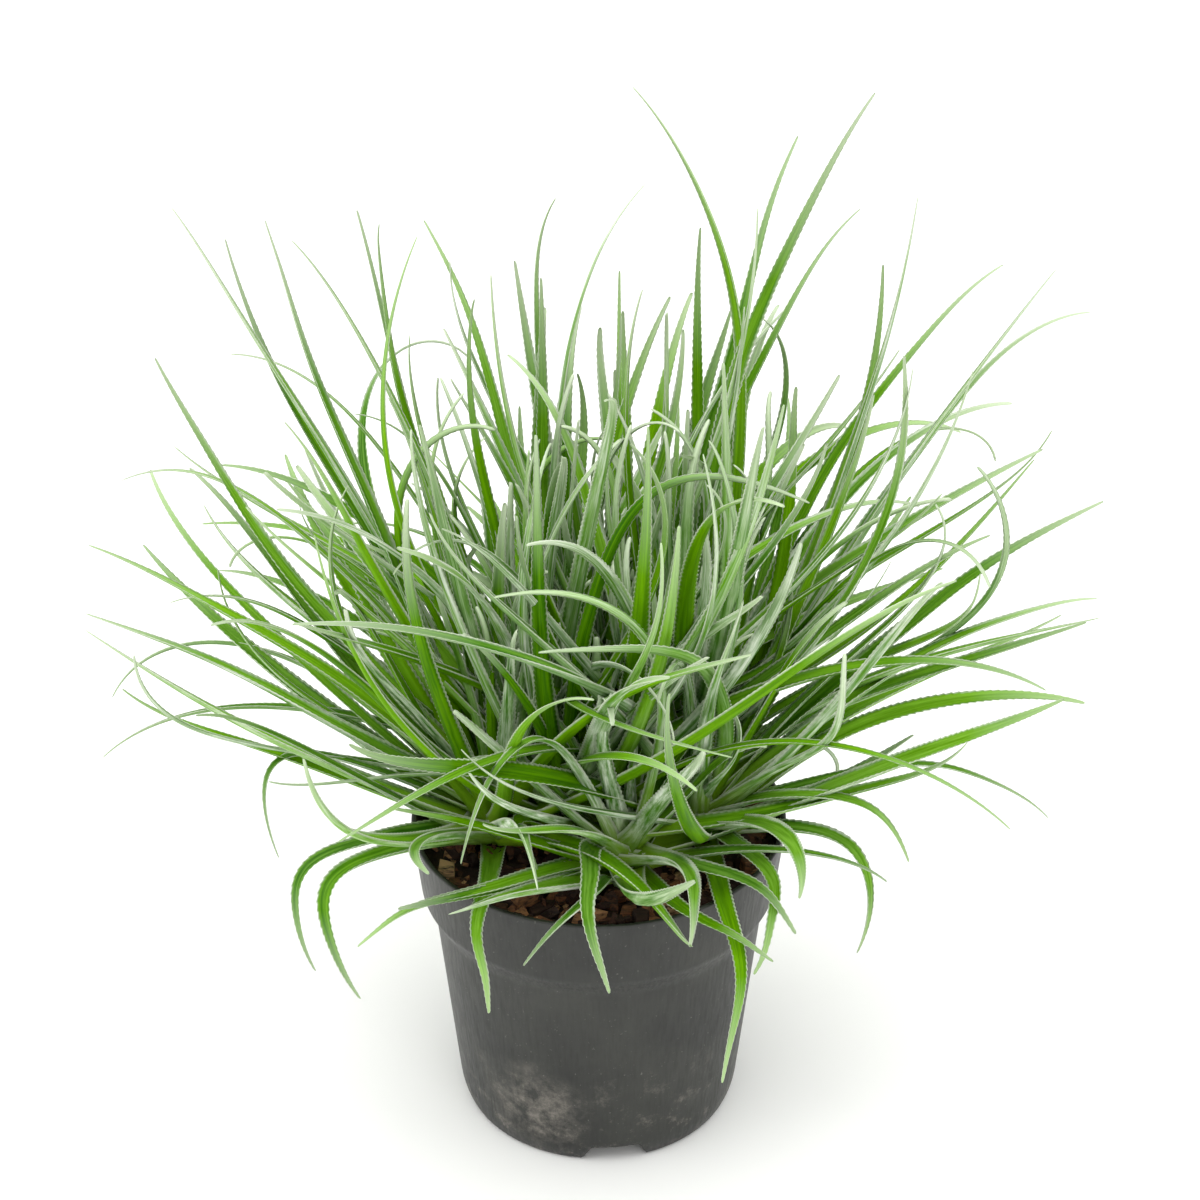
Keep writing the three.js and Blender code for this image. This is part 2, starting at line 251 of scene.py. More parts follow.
on_ring = (radius > FOOT_RING_RADIUS - 0.001) & (height < FLOOR_LIFT)
for heading in NOTCH_HEADINGS:
    # A foot gap lifts what lies lower than itself: level in its middle, eased at both ends.
    sideways = np.abs((angle - heading + np.pi) % (2 * np.pi) - np.pi) * FOOT_RADIUS
    ease = np.clip((NOTCH_HALF_WIDTH - sideways) / (NOTCH_HALF_WIDTH * 0.4), 0, 1)
    lift = NOTCH_HEIGHT * ease**2 * (3 - 2 * ease)
    pot_rings[..., 2] = np.where(on_ring, np.maximum(pot_rings[..., 2], lift), pot_rings[..., 2])
# Thin walls shrink unevenly as they cool, so the rim is out of round by a few tenths of a millimetre.
out_of_round = 0.00025 * np.sin(2 * angle + 0.6) + 0.00012 * np.sin(5 * angle + 2.0)
pot_rings[..., :2] *= (1 + out_of_round * height / POT_HEIGHT / RIM_RADIUS)[..., None]

# Satin charcoal polypropylene, carbon black in recycled stock: a soft grey sheen, paler where the
# wall is rubbed, with dried splashes low down and light specks of dust.
pot_plastic, tree, shader = new_material("charcoal_polypropylene", IOR=1.49)
place = add_node(tree, "ShaderNodeTexCoord").outputs["Object"]
clouds = add_node(
    tree,
    "ShaderNodeTexNoise",
    {"Vector": place, "Scale": 28.0, "Detail": 6.0, "Roughness": 0.6},
)
wear = add_node(tree, "ShaderNodeMapRange", {"Value": clouds, "From Min": 0.36, "From Max": 0.66})
rubbed = add_node(
    tree,
    "ShaderNodeMix",
    {"Factor": wear, "A": linear_colour("#11120f"), "B": linear_colour("#282924")},
    data_type="RGBA",
)
low_down = add_node(
    tree,
    "ShaderNodeMapRange",
    {
        "Value": add_node(tree, "ShaderNodeSeparateXYZ", {"Vector": place}).outputs["Z"],
        "From Min": 0.0,
        "From Max": 0.045,
        "To Min": 1.0,
        "To Max": 0.0,
    },
)
splash_noise = add_node(
    tree,
    "ShaderNodeTexNoise",
    {"Vector": place, "Scale": 110.0, "Detail": 8.0, "Roughness": 0.8},
)
splash_edge = add_node(
    tree,
    "ShaderNodeMapRange",
    {"Value": splash_noise, "From Min": 0.54, "From Max": 0.68},
)
splash = add_node(tree, "ShaderNodeMath", {0: splash_edge, 1: low_down}, operation="MULTIPLY")
splashed = add_node(
    tree, "ShaderNodeMix", {"Factor": splash, "A": rubbed, "B": linear_colour("#756f67")}, data_type="RGBA"
)
scuff_middle = add_node(
    tree, "ShaderNodeVectorMath", {0: place, 1: (-0.020, -0.040, 0.021)}, operation="DISTANCE"
).outputs["Value"]
scuff_spread = add_node(
    tree,
    "ShaderNodeMapRange",
    {"Value": scuff_middle, "From Min": 0.003, "From Max": 0.022, "To Min": 0.8, "To Max": 0.0},
)
scuff_noise = add_node(
    tree,
    "ShaderNodeMapRange",
    {"Value": splash_noise, "From Min": 0.42, "From Max": 0.62},
)
scuff = add_node(tree, "ShaderNodeMath", {0: scuff_spread, 1: scuff_noise}, operation="MULTIPLY")
scuffed = add_node(
    tree, "ShaderNodeMix", {"Factor": scuff, "A": splashed, "B": linear_colour("#78726a")}, data_type="RGBA"
)
specks = add_node(
    tree,
    "ShaderNodeTexNoise",
    {"Vector": place, "Scale": 900.0, "Detail": 2.0, "Roughness": 0.6},
)
speck = add_node(
    tree,
    "ShaderNodeMapRange",
    {"Value": specks, "From Min": 0.69, "From Max": 0.76, "To Min": 0.0, "To Max": 0.6},
)
dusted = add_node(
    tree, "ShaderNodeMix", {"Factor": speck, "A": scuffed, "B": linear_colour("#6f6e68")}, data_type="RGBA"
)
tree.links.new(shader.inputs["Base Color"], dusted.outputs[2])
along_wall = add_node(tree, "ShaderNodeMapping", {"Vector": place, "Scale": (900.0, 900.0, 60.0)})
scuffs = add_node(
    tree,
    "ShaderNodeTexNoise",
    {"Vector": along_wall, "Scale": 1.0, "Detail": 3.0, "Roughness": 0.7},
)
satin = add_node(
    tree,
    "ShaderNodeMapRange",
    {"Value": scuffs, "From Min": 0.3, "From Max": 0.7, "To Min": 0.36, "To Max": 0.56},
)
tree.links.new(shader.inputs["Roughness"], satin.outputs[0])
grain = add_node(tree, "ShaderNodeBump", {"Height": clouds, "Strength": 0.25, "Distance": 0.0004})
tree.links.new(shader.inputs["Normal"], grain.outputs[0])

pot = mesh_piece("nursery_pot", *closed_rings(pot_rings), pot_plastic)

# The drain holes are cut by one mesh of upright cylinders.
drain_turns = np.radians(30) + np.arange(DRAIN_COUNT) * 2 * np.pi / DRAIN_COUNT
drain_points, drain_faces = closed_rings(turned(np.array([[DRAIN_RADIUS, 0.0], [DRAIN_RADIUS, 0.02]]), 32))
drain_places = DRAIN_CIRCLE_RADIUS * np.stack([np.cos(drain_turns), np.sin(drain_turns), 0 * drain_turns], 1)
drill = mesh_piece(
    "drill",
    (drain_points + drain_places[:, None]).reshape(-1, 3),
    (drain_faces + len(drain_points) * np.arange(DRAIN_COUNT)[:, None, None]).reshape(-1, 4),
    pot_plastic,
)
cut = pot.modifiers.new("drain_holes", "BOOLEAN")
cut.object = drill
cut.operation = "DIFFERENCE"
cut.solver = "EXACT"
bpy.context.view_layer.objects.active = pot
bpy.ops.object.modifier_apply(modifier=cut.name)
bpy.data.objects.remove(drill)
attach(pot, "root")
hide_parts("pot")

# ---- Potting mix --------------------------------------------------------------------------------
# Damp composted bark, tipped in and settled: a dark crumbly bed a finger's width below the rim,
# uneven by a millimetre or two, and hidden under the loose pieces that lie on it.
mix_low, mix_high = (np.array(corner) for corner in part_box("potting_mix"))
MIX_RADIUS = (mix_high[0] - mix_low[0]) / 2
MIX_TOP = mix_high[2]
WALL_CLEARANCE = 0.0004

mix_profile = rounded_profile(
    [
        (POLE, mix_low[2], 0.0),
        (BODY_LOW_RADIUS - WALL - WALL_CLEARANCE - 0.0004, mix_low[2], 0.0020),
        (BODY_TOP_RADIUS - WALL - WALL_CLEARANCE, STEP_FOOT, 0.0020),
        (BAND_LOWER_RADIUS - WALL - WALL_CLEARANCE - 0.0004, BAND_FOOT, 0.0010),
        (MIX_RADIUS - 0.0002, MIX_TOP - 0.0022, 0.0006),
        (MIX_RADIUS * 0.9, MIX_TOP - 0.0006, 0.0020),
        (POLE, MIX_TOP - 0.0004, 0.0),
    ],
    step=0.0020,
)
MIX_SIDES = 150
mix_rings = turned(mix_profile, MIX_SIDES)
crumble = sum(
    np.sin(mix_rings[..., 0] * wave * np.cos(turn) + mix_rings[..., 1] * wave * np.sin(turn) + turn * 7) / 4
    for wave, turn in ((420, 0.3), (560, 1.4), (760, 2.2), (980, 0.9))
)
on_top = np.clip((mix_rings[..., 2] - (MIX_TOP - 0.002)) / 0.0015, 0, 1)
mix_rings[..., 2] += crumble * 0.0011 * on_top

# Bark humus: nearly black and matt. Its crumb tones vary, and the darker tone is painted where the crumb
# relief dips, as painted shade in its hollows.
bark_humus, tree, shader = new_material("composted_bark", Roughness=0.92)
place = add_node(tree, "ShaderNodeTexCoord").outputs["Object"]
crumbs = add_node(
    tree,
    "ShaderNodeTexNoise",
    {"Vector": place, "Scale": 420.0, "Detail": 5.0, "Roughness": 0.7},
)
# Painted shade: the dark crumb colour goes where the relief is lowest, in the hollows.
humus_with_painted_shade = add_node(
    tree,
    "ShaderNodeMix",
    {
        "Factor": add_node(tree, "ShaderNodeMapRange", {"Value": crumbs, "From Min": 0.35, "From Max": 0.7}),
        "A": linear_colour("#150e0a"),
        "B": linear_colour("#3d281c"),
    },
    data_type="RGBA",
)
tree.links.new(shader.inputs["Base Color"], humus_with_painted_shade.outputs[2])
clods = add_node(tree, "ShaderNodeBump", {"Height": crumbs, "Strength": 0.8, "Distance": 0.0012})
tree.links.new(shader.inputs["Normal"], clods.outputs[0])

mix = mesh_piece("potting_mix_bed", *closed_rings(mix_rings), bark_humus)
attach(mix, "root")
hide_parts("potting_mix")

# ---- Bark chips ---------------------------------------------------------------------------------
# Milled pine bark, 4 to 12 mm: split flakes with corky reddish faces, dark broken edges and a few
# paler woody ones, lying loose over the mix at all angles.
SMALL_CHIP_COUNT = 760
CHIP_SIDES = 5
CHIP_LEVELS = np.array([-0.5, -0.44, 0.44, 0.5])
CHIP_INSETS = np.array([0.84, 1.0, 0.95, 0.80])
draw = np.random.default_rng(41)


def flakes(centres, sizes, turns, tilts):
    """Slabs of bark, one for each centre. A slab is rings of points at four levels; a point's
    distance from the middle is half the slab's length and breadth along its heading, times the
    level's inset and a random chipping. Each slab is tilted about one axis, then turned about +Z."""
    count = len(centres)
    heading = np.arange(CHIP_SIDES) * 2 * np.pi / CHIP_SIDES + draw.uniform(
        -0.45,
        0.45,
        (count, 1, CHIP_SIDES),
    )
    chipping = draw.uniform(0.66, 1.15, (count, 1, CHIP_SIDES)) * draw.uniform(
        0.86,
        1.1,
        (count, 4, CHIP_SIDES),
    )
    reach = chipping * CHIP_INSETS[:, None]
    x = np.cos(heading) * reach * sizes[:, 0, None, None] / 2
    y = np.sin(heading) * reach * sizes[:, 1, None, None] / 2
    warp = draw.uniform(-0.16, 0.16, (count, 1, CHIP_SIDES))
    z = (CHIP_LEVELS[:, None] + warp) * sizes[:, 2, None, None]
    sin_tilt, cos_tilt = np.sin(tilts)[:, None, None], np.cos(tilts)[:, None, None]
    x, z = x * cos_tilt + z * sin_tilt, z * cos_tilt - x * sin_tilt
    sin_turn, cos_turn = np.sin(turns)[:, None, None], np.cos(turns)[:, None, None]
    x, y = x * cos_turn - y * sin_turn, x * sin_turn + y * cos_turn
    rings = np.stack([x, y, z], -1) + centres[:, None, None]
    built = [closed_rings(slab) for slab in rings]
    size = len(built[0][0])
    points = np.concatenate([slab[0] for slab in built])
    faces = np.concatenate([slab[1] + size * i for i, slab in enumerate(built)])
    return points, faces, size


def set_point_attribute(piece, name, values):
    """Stores one number a point under a name that a material can read."""
    attribute = piece.data.attributes.new(name, "FLOAT", "POINT")
    attribute.data.foreach_set("value", np.asarray(values, np.float32))


# Pine bark: corky layers in red-brown over dark brown, broken faces paler and tan.
pine_bark, tree, shader = new_material("pine_bark", Roughness=0.85)
place = add_node(tree, "ShaderNodeTexCoord").outputs["Object"]
tone = add_node(tree, "ShaderNodeAttribute", attribute_name="tone").outputs["Fac"]
layers = add_node(
    tree,
    "ShaderNodeMapping",
    {"Vector": place, "Rotation": (0.5, 0.3, 0.8), "Scale": (1.0, 3.5, 6.0)},
)
cork = add_node(
    tree,
    "ShaderNodeTexNoise",
    {"Vector": layers, "Scale": 150.0, "Detail": 7.0, "Roughness": 0.7},
)
bark_ramp = add_node(tree, "ShaderNodeValToRGB", {"Fac": tone})
bark_ramp.color_ramp.elements[0].color = linear_colour("#2c1a12")
bark_ramp.color_ramp.elements[1].color = linear_colour("#d0a87c")
for position, shade in ((0.35, "#4a2b1c"), (0.6, "#80502f"), (0.84, "#a8774f")):
    bark_ramp.color_ramp.elements.new(position).color = linear_colour(shade)
stain = add_node(tree, "ShaderNodeMapRange", {"Value": cork, "From Min": 0.36, "From Max": 0.56})
chip_colour = add_node(
    tree,
    "ShaderNodeMix",
    {"Factor": stain, "A": linear_colour("#21140e"), "B": bark_ramp},
    data_type="RGBA",
)
tree.links.new(shader.inputs["Base Color"], chip_colour.outputs[2])
cork_relief = add_node(tree, "ShaderNodeBump", {"Height": cork, "Strength": 0.7, "Distance": 0.0006})
tree.links.new(shader.inputs["Normal"], cork_relief.outputs[0])

spiral = np.arange(SMALL_CHIP_COUNT)
ring_radius = (MIX_RADIUS - 0.0035) * np.sqrt((spiral + 0.5) / SMALL_CHIP_COUNT)
ring_turn = spiral * 2.39996 + draw.uniform(-0.2, 0.2, SMALL_CHIP_COUNT)
chip_length = 0.0040 + 0.0085 * draw.uniform(0, 1, SMALL_CHIP_COUNT) ** 2
chip_sizes = chip_length[:, None] * np.stack(
    [
        np.ones(SMALL_CHIP_COUNT),
        draw.uniform(0.35, 0.8, SMALL_CHIP_COUNT),
        draw.uniform(0.18, 0.42, SMALL_CHIP_COUNT),
    ],
    1,
)
chip_centres = np.stack(
    [
        ring_radius * np.cos(ring_turn),
        ring_radius * np.sin(ring_turn),
        MIX_TOP + draw.uniform(-0.0008, 0.0022, SMALL_CHIP_COUNT),
    ],
    1,
)
chip_points, chip_faces, chip_size = flakes(
    chip_centres,
    chip_sizes,
    draw.uniform(0, 2 * np.pi, SMALL_CHIP_COUNT),
    draw.normal(0, 0.55, SMALL_CHIP_COUNT),
)
chips = mesh_piece("loose_bark", chip_points, chip_faces, pine_bark, smooth=False)
set_point_attribute(chips, "tone", np.repeat(draw.uniform(0, 1, SMALL_CHIP_COUNT) ** 1.3, chip_size))
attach(chips, "root")

for number, (turn, tilt, tone_value) in enumerate(
    ((25, 8, 0.72), (-40, 6, 0.93), (70, 10, 0.55), (5, 7, 0.85), (15, 12, 0.62)), start=1
):
    node = f"bark_chip_{number}"
    low, high = (np.array(corner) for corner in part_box(node))
    span = high - low
    sizes = np.array([[max(span[:2]) * 1.08, min(span[:2]) * 0.92, span[2] * 0.9]])
    points, faces, size = flakes(
        (low + high)[None] / 2, sizes, np.radians([turn]), np.radians([tilt])
    )
    chip = mesh_piece(f"large_chip_{number}", points, faces, pine_bark, smooth=False)
    set_point_attribute(chip, "tone", np.full(size, tone_value))
    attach(chip, "root")
    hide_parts(node)

# ---- Leaf blade ---------------------------------------------------------------------------------
# Every leaf of the clump is one kind of blade: a narrow fleshy strip, channelled above and keeled
# below, that clasps its crown with a wide base and tapers to a fine point. Small pale teeth, hooked
# forwards, stand along both edges from just above the base almost to the tip.
TOOTH_PITCH = 0.0024
TOOTH_HEIGHT = 0.00038
TOOTH_HOOK = 0.0006
SECTION_SIDES = 8
SECTION_ACROSS = np.array([-1.0, -0.52, 0.0, 0.52, 1.0, 0.56, 0.0, -0.56])
SECTION_LIFT = np.array([1.0, 0.27, 0.0, 0.27, 1.0, 0.25, 0.0, 0.25])
SECTION_KEEL = np.array([0.0, 0.0, 0.0, 0.0, 0.0, 0.72, 1.0, 0.72])
BASE_FLARE = 0.8


def unit(vectors):
    """The vectors, each divided by its length."""
    return vectors / np.maximum(np.linalg.norm(vectors, axis=-1, keepdims=True), 1e-12)


def blade_rings(middle, upper, width, tip_width, taper, twist):
    """Rings of one leaf. Along the middle line each ring has eight points: at left margin, upper
    side, right margin and underside. The half width follows 1 - s^taper from base to tip, plus half
    the tip's width, with a flare at the clasping base and a rounded end. In proportion to it the
    margins rise above the channel and the keel hangs below it.
    Every second ring pushes its margins out and forwards by a tooth."""
    lengths = np.linalg.norm(np.diff(middle, axis=0), axis=1)
    travelled = np.concatenate([[0], np.cumsum(lengths)])
    teeth = max(6, round(travelled[-1] / TOOTH_PITCH))
    s = np.arange(2 * teeth) / (2 * teeth)
    s = s[:-1]
    here = s * travelled[-1]
    centre = np.stack([np.interp(here, travelled, middle[:, k]) for k in range(3)], 1)
    above = np.stack([np.interp(here, travelled, upper[:, k]) for k in range(3)], 1)
    along = unit(np.gradient(centre, axis=0))
    above = unit(above - (above * along).sum(1, keepdims=True) * along)
    beside = np.cross(along, above)
    roll = twist * s**1.5
    above, beside = (
        above * np.cos(roll)[:, None] - beside * np.sin(roll)[:, None],
        beside * np.cos(roll)[:, None] + above * np.sin(roll)[:, None],
    )
    half = width / 2 * (1 - s**taper) * (1 + BASE_FLARE * np.exp(-here / 0.010)) + tip_width / 2
    half[-1] *= 0.6
    channel = half * (0.42 + 0.35 * np.exp(-here / 0.012))
    keel = 0.34 * half + 0.00035 * (1 - s)
    toothed = (np.arange(len(s)) % 2) * np.clip((here - 0.012) / 0.01, 0, 1) * np.clip((1 - s) / 0.08, 0, 1)
    tooth = TOOTH_HEIGHT * toothed * np.clip(half / 0.0028, 0.25, 1)
    margin = np.isin(np.arange(SECTION_SIDES), (0, 4))
    across = half[:, None] * SECTION_ACROSS + tooth[:, None] * margin * SECTION_ACROSS
    lift = channel[:, None] * SECTION_LIFT - keel[:, None] * SECTION_KEEL
    forward = (TOOTH_HOOK * toothed)[:, None] * margin
    return (
        centre[:, None]
        + across[..., None] * beside[:, None]
        + lift[..., None] * above[:, None]
        + forward[..., None] * along[:, None]
    )


def leaf_group(name, blades, material):
    """One mesh of many leaves. A blade is (middle line, upper directions, width, tip width, taper,
    twist, tone, age).
    The UV map leaf_strip runs round the section in u and along the leaf in v; OFBake lays the same
    strips side by side, to scale along their length."""
    points, faces, strip, atlas, tones, ages = [], [], [], [], [], []
    longest = max(np.linalg.norm(np.diff(b[0], axis=0), axis=1).sum() for b in blades)
    offset = 0
    for index, (middle, upper, width, tip_width, taper, twist, tone_value, age) in enumerate(blades):
        rings = blade_rings(middle, upper, width, tip_width, taper, twist)
        leaf_points, leaf_faces = closed_rings(rings)
        count = len(rings)
        share = np.linalg.norm(np.diff(middle, axis=0), axis=1).sum() / longest
        quads = (count - 1) * SECTION_SIDES
        ring, side = np.divmod(np.arange(quads), SECTION_SIDES)
        u = np.stack([side, side + 1, side + 1, side], 1) / SECTION_SIDES
        v = np.stack([ring, ring, ring + 1, ring + 1], 1) / (count - 1)
        fan = np.arange(SECTION_SIDES)
        fan_u = np.stack([fan + 0.5, fan + 1, fan], 1) / SECTION_SIDES
        end_u = np.stack([fan + 0.5, fan, fan + 1], 1) / SECTION_SIDES
        u = np.concatenate([u.ravel(), fan_u.ravel(), end_u.ravel()])
        v = np.concatenate([v.ravel(), np.zeros(fan_u.size), np.ones(end_u.size)])
        strip.append(np.stack([u, v], 1))
        atlas.append(np.stack([(index + 0.06 + 0.88 * u) / len(blades), 0.005 + 0.99 * v * share], 1))
        points.append(leaf_points)
        faces.append(leaf_faces + offset)
        tones.append(np.full(len(leaf_points), tone_value))
        ages.append(np.full(len(leaf_points), age))
        offset += len(leaf_points)
    piece = mesh_piece(name, np.concatenate(points), np.concatenate(faces), material)
    for map_name, maps in (("leaf_strip", strip), ("OFBake", atlas)):
        layer = piece.data.uv_layers.new(name=map_name)
        layer.data.foreach_set("uv", np.concatenate(maps).astype(np.float32).ravel())
    set_point_attribute(piece, "tone", np.concatenate(tones))
    set_point_attribute(piece, "age", np.concatenate(ages))
    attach(piece, "root")
    return piece


# Living bromeliad leaf: satin green above with fine lengthwise veins, and a felt of silver scales
# underneath that also covers young leaves on both sides. Edges and tips are pale, the clasping base
# is yellow-green. Some leaves are much more scaly than others. The streaks of scales between the veins
# are drawn about 0.8 mm apart, wider than real ones, so that they show.
leaf_skin, tree, shader = new_material(
    "scaly_bromeliad_leaf", Specular_IOR_Level=0.10
)
strip_map = add_node(tree, "ShaderNodeUVMap", uv_map="leaf_strip")
strip_uv = add_node(tree, "ShaderNodeSeparateXYZ", {"Vector": strip_map})
tone = add_node(tree, "ShaderNodeAttribute", attribute_name="tone").outputs["Fac"]
age = add_node(tree, "ShaderNodeAttribute", attribute_name="age").outputs["Fac"]
underside = add_node(tree, "ShaderNodeMath", {0: strip_uv.outputs["X"], 1: 0.5}, operation="GREATER_THAN")
around = add_node(tree, "ShaderNodeMath", {0: strip_uv.outputs["X"], 1: 4.0}, operation="MULTIPLY")
inboard = add_node(tree, "ShaderNodeMath", {0: around, 1: 1.0}, operation="PINGPONG")
own_place = add_node(tree, "ShaderNodeMath", {0: tone, 1: 60.0}, operation="MULTIPLY")
leaf_place = add_node(
    tree,
    "ShaderNodeCombineXYZ",
    {"X": strip_uv.outputs["X"], "Y": strip_uv.outputs["Y"], "Z": own_place},
)
vein_place = add_node(tree, "ShaderNodeMapping", {"Vector": leaf_place, "Scale": (15.0, 4.0, 1.0)})
veins = add_node(
    tree,
    "ShaderNodeTexNoise",
    {"Vector": vein_place, "Scale": 1.0, "Detail": 4.0, "Roughness": 0.6},
)
patch_place = add_node(tree, "ShaderNodeMapping", {"Vector": leaf_place, "Scale": (9.0, 8.0, 1.0)})
patches = add_node(
    tree,
    "ShaderNodeTexNoise",
    {"Vector": patch_place, "Scale": 1.0, "Detail": 4.0, "Roughness": 0.6},
)
patch = add_node(tree, "ShaderNodeMapRange", {"Value": patches, "From Min": 0.38, "From Max": 0.62})
vein = add_node(tree, "ShaderNodeMapRange", {"Value": veins, "From Min": 0.40, "From Max": 0.60})
vein_and_patch = add_node(
    tree, "ShaderNodeMix", {"Factor": 0.7, "A": patch, "B": vein}, data_type="FLOAT"
)
green_shade = add_node(
    tree,
    "ShaderNodeMix",
    {"Factor": 0.55, "A": vein_and_patch, "B": tone},
    data_type="FLOAT",
)
bare_green = add_node(
    tree,
    "ShaderNodeMix",
    {"Factor": green_shade, "A": linear_colour("#265c00"), "B": linear_colour("#7eb800")},
    data_type="RGBA",
)
silver_green = add_node(
    tree,
    "ShaderNodeMix",
    {"Factor": vein_and_patch, "A": linear_colour("#4c8410"), "B": linear_colour("#e8efe0")},
    data_type="RGBA",
)
# Scales: most of the underside, and a band inside each edge of the upper side. The bands nearly
# meet on young leaves and narrow to a line on old ones.
band_edge = add_node(
    tree,
    "ShaderNodeMapRange",
    {"Value": age, "From Min": 0.0, "From Max": 0.8, "To Min": 0.46, "To Max": 0.12},
)
past_band = add_node(tree, "ShaderNodeMath", {0: inboard, 1: band_edge}, operation="SUBTRACT")
uneven = add_node(tree, "ShaderNodeMath", {0: patch, 1: 0.24, 2: past_band}, operation="MULTIPLY_ADD")
band = add_node(
    tree,
    "ShaderNodeMapRange",
    {"Value": uneven, "From Min": 0.02, "From Max": 0.26, "To Min": 0.8, "To Max": 0.04},
)
under_cover = add_node(tree, "ShaderNodeMath", {0: patch, 1: 0.6, 2: 0.26}, operation="MULTIPLY_ADD")
full_cover = add_node(
    tree, "ShaderNodeMix", {"Factor": underside, "A": band, "B": under_cover}, data_type="FLOAT"
)
own_share = add_node(
    tree,
    "ShaderNodeMapRange",
    {
        "Value": add_node(tree, "ShaderNodeMath", {0: own_place}, operation="FRACT"),
        "From Min": 0.2,
        "From Max": 0.75,
        "To Min": 0.0,
        "To Max": 1.3,
    },
)
scale_cover = add_node(
    tree,
    "ShaderNodeMath",
    {0: full_cover, 1: own_share},
    operation="MULTIPLY",
    use_clamp=True,
)
bare_and_scaly = add_node(
    tree, "ShaderNodeMix", {"Factor": scale_cover, "A": bare_green, "B": silver_green}, data_type="RGBA"
)
near_base = add_node(
    tree,
    "ShaderNodeMapRange",
    {"Value": strip_uv.outputs["Y"], "From Min": 0.02, "From Max": 0.24, "To Min": 0.9, "To Max": 0.0},
)
based = add_node(
    tree,
    "ShaderNodeMix",
    {"Factor": near_base, "A": bare_and_scaly, "B": linear_colour("#90b628")},
    data_type="RGBA",
)
near_tip = add_node(
    tree,
    "ShaderNodeMapRange",
    {"Value": strip_uv.outputs["Y"], "From Min": 0.72, "From Max": 1.0, "To Min": 0.0, "To Max": 0.85},
)
# Young leaves end nearly white, old ones only a little paler than they are.
young_share = add_node(
    tree,
    "ShaderNodeMapRange",
    {"Value": age, "From Min": 0.2, "From Max": 0.85, "To Min": 1.0, "To Max": 0.5},
)
tip_share = add_node(tree, "ShaderNodeMath", {0: near_tip, 1: young_share}, operation="MULTIPLY")
tipped = add_node(
    tree, "ShaderNodeMix", {"Factor": tip_share, "A": based, "B": linear_colour("#d5dfc6")}, data_type="RGBA"
)
pale_edge = add_node(
    tree,
    "ShaderNodeMapRange",
    {"Value": inboard, "From Min": 0.04, "From Max": 0.18, "To Min": 0.9, "To Max": 0.0},
)
edged = add_node(
    tree, "ShaderNodeMix", {"Factor": pale_edge, "A": tipped, "B": linear_colour("#dfe9d0")}, data_type="RGBA"
)
tree.links.new(shader.inputs["Base Color"], edged.outputs[2])
leaf_satin = add_node(
    tree,
    "ShaderNodeMapRange",
    {"Value": scale_cover, "From Min": 0.0, "From Max": 1.0, "To Min": 0.4, "To Max": 0.75},
)
tree.links.new(shader.inputs["Roughness"], leaf_satin.outputs[0])
vein_relief = add_node(tree, "ShaderNodeBump", {"Height": veins, "Strength": 0.5, "Distance": 0.0002})
tree.links.new(shader.inputs["Normal"], vein_relief.outputs[0])


# ---- Outer leaves -------------------------------------------------------------------------------
# The clump's longest and oldest leaves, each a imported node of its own: those that hang over the rim
# and those whose tips set the plant's outline.
INTO_CROWN = 0.010


def cad_leaf(node):
    """The middle line, upper directions and width of a packed leaf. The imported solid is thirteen
    rings of four corners and a tip. The tip is the corner that has a whole ring at the greatest
    number of edges from it, and counting edges from it sorts the corners into rings. In a ring the
    two margins are farthest apart, and of the others the channel lies nearer their middle and the
    keel farther. The channel line is fitted with a quadratic, which also carries it back into the
    crown."""
    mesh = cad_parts[node].data
    flat = np.empty(len(mesh.vertices) * 3)
    mesh.vertices.foreach_get("co", flat)
    used = np.empty(len(mesh.loops), np.int32)
    mesh.loops.foreach_get("vertex_index", used)
    corners, same = np.unique(np.round(flat.reshape(-1, 3), 5), axis=0, return_inverse=True)
    faces = same.ravel()[used].reshape(-1, 3)
    linked = np.zeros((len(corners), len(corners)), bool)
    linked[faces, np.roll(faces, 1, 1)] = True
    linked |= linked.T
    reached = np.eye(len(corners), dtype=bool)
    linked |= reached
    steps = np.zeros(reached.shape, int)
    while not reached.all():
        steps += ~reached
        reached = reached @ linked
    tip = (steps == steps.max()).sum(1).argmax()
    rings = corners[np.argsort(-steps[tip], kind="stable")][:-1].reshape(-1, 4, 3)
    spans = np.linalg.norm(rings[:, :, None] - rings[:, None], axis=-1)
    left, right = np.divmod(spans.reshape(len(rings), -1).argmax(1), 4)
    row = np.arange(len(rings))
    between = (rings[row, left] + rings[row, right]) / 2
    depth = np.linalg.norm(rings - between[:, None], axis=-1)
    depth[row, left] = depth[row, right] = np.nan
    channel = rings[row, np.nanargmin(depth, 1)]
    keel = rings[row, np.nanargmax(depth, 1)]
    line = np.concatenate([channel, corners[tip][None]])
    t = np.linspace(0, 1, len(line))
    fit = np.polyfit(t, line, 2)
    fine = np.linspace(-INTO_CROWN / np.linalg.norm(fit[1]), 1, 60)
    middle = fit[0] * fine[:, None] ** 2 + fit[1] * fine[:, None] + fit[2]
    facing = unit(between - keel)
    upper = np.stack([np.interp(fine, t[:-1], facing[:, k]) for k in range(3)], 1)
    return middle, upper, spans.max()


rosettes = sorted(n.removeprefix("crown_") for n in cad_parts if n.startswith("crown_"))
outer = {name: [] for name in rosettes}
crown_places = {}
for name in rosettes:
    low, high = (np.array(corner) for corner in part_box("crown_" + name))
    crown_places[name] = np.array([*(low + high)[:2] / 2, low[2]])

